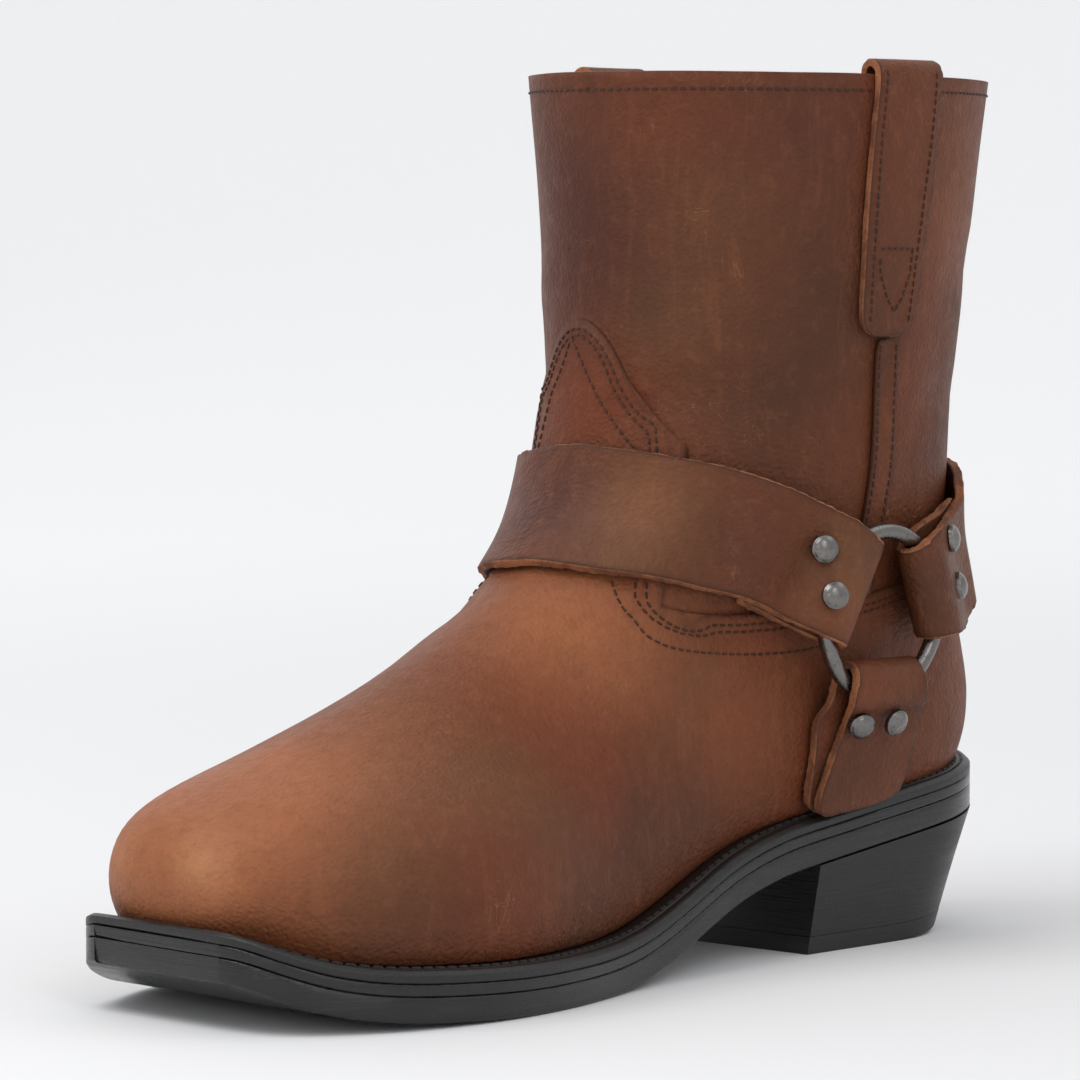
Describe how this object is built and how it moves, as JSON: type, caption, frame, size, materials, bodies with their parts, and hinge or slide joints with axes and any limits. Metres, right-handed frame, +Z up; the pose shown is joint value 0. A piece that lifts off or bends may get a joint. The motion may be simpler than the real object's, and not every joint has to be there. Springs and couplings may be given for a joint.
{
  "type": "harness boot",
  "caption": "Short brown oiled leather harness boot for the left foot, square toed, with a riveted strap and ring harness, pull straps, stitched welt and black heel.",
  "frame": {"origin": "on the floor, on the flat part of the heel's tread, in the middle of the boot's width there", "axes": "+Z up from the floor along the shaft, +Y from toe to heel, +X towards the outer (lateral) side of the left boot"},
  "size_m": [0.116, 0.2915, 0.2375],
  "materials": {
    "sole_rubber": "semi-gloss black",
    "insole_leather": "matt tan",
    "boot_leather": "oiled pull-up brown",
    "ring_metal": "dark gunmetal"
  },
  "bodies": {
    "root": {"outsole": "sole_rubber", "midsole": "sole_rubber", "welt": "sole_rubber", "heel_stack": "sole_rubber", "heel_top_lift": "sole_rubber", "insole": "insole_leather", "upper": "boot_leather", "side_seam_lateral": "boot_leather", "pull_strap_lateral": "boot_leather", "harness_ring_lateral": "ring_metal", "lower_strap_lateral": "boot_leather", "side_seam_medial": "boot_leather", "pull_strap_medial": "boot_leather", "harness_ring_medial": "ring_metal", "lower_strap_medial": "boot_leather", "front_strap": "boot_leather", "back_strap": "boot_leather", "rivet_front_upper_lateral": "ring_metal", "rivet_front_lower_lateral": "ring_metal", "rivet_back_upper_lateral": "ring_metal", "rivet_back_lower_lateral": "ring_metal", "rivet_lower_front_lateral": "ring_metal", "rivet_lower_back_lateral": "ring_metal", "rivet_front_upper_medial": "ring_metal", "rivet_front_lower_medial": "ring_metal", "rivet_back_upper_medial": "ring_metal", "rivet_back_lower_medial": "ring_metal", "rivet_lower_front_medial": "ring_metal", "rivet_lower_back_medial": "ring_metal"}
  },
  "joints": []
}
